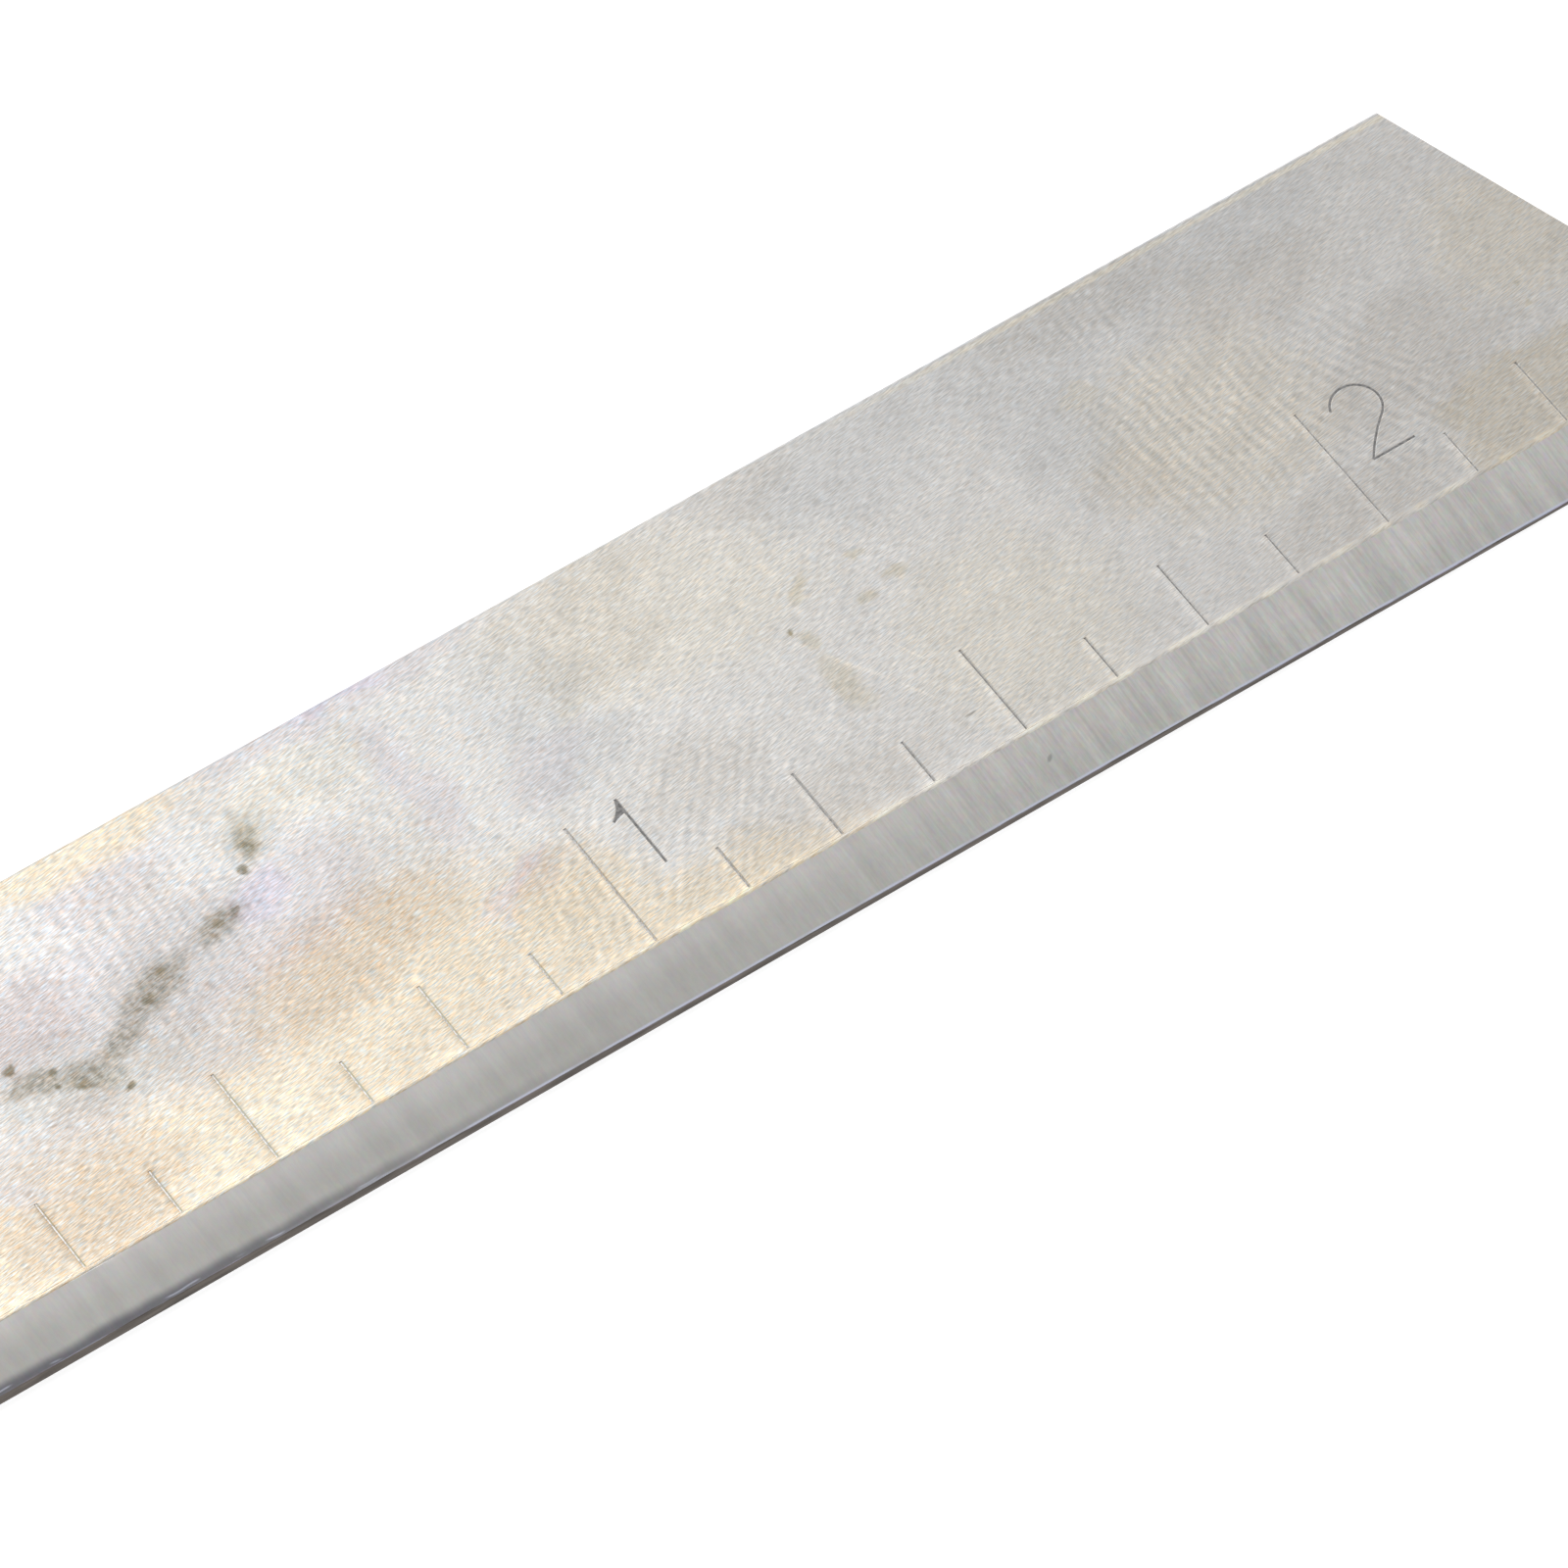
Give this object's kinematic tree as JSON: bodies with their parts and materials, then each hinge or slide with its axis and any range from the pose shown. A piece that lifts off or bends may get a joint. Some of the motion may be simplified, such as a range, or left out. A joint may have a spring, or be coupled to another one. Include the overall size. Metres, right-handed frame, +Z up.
{
  "type": "steel ruler",
  "caption": "Short bevelled steel ruler with a slanted end, an engraved scale of eighths of an inch and dark-filled marks and numerals.",
  "frame": {"origin": "middle of the blade's box, on the flat face that it lies on", "axes": "+X along the scale, from the square zero end to the slanted end; +Y across the blade, from the bevelled edge to the plain back edge; +Z up, out of the engraved face"},
  "size_m": [0.0638, 0.014, 0.001],
  "materials": {
    "blade_steel": "fine rolled and brushed steel, slightly stained",
    "line_fill": "matt dark marking fill"
  },
  "bodies": {
    "root": {"ruler_blade": "blade_steel", "mark_fill_01": "line_fill", "mark_fill_02": "line_fill", "mark_fill_03": "line_fill", "mark_fill_04": "line_fill", "mark_fill_05": "line_fill", "mark_fill_06": "line_fill", "mark_fill_07": "line_fill", "mark_fill_08": "line_fill", "mark_fill_09": "line_fill", "mark_fill_10": "line_fill", "mark_fill_11": "line_fill", "mark_fill_12": "line_fill", "mark_fill_13": "line_fill", "mark_fill_14": "line_fill", "mark_fill_15": "line_fill", "mark_fill_16": "line_fill", "mark_fill_17": "line_fill", "mark_fill_18": "line_fill", "mark_fill_19": "line_fill", "numeral_1_fill": "line_fill", "numeral_2_fill": "line_fill"}
  },
  "joints": []
}
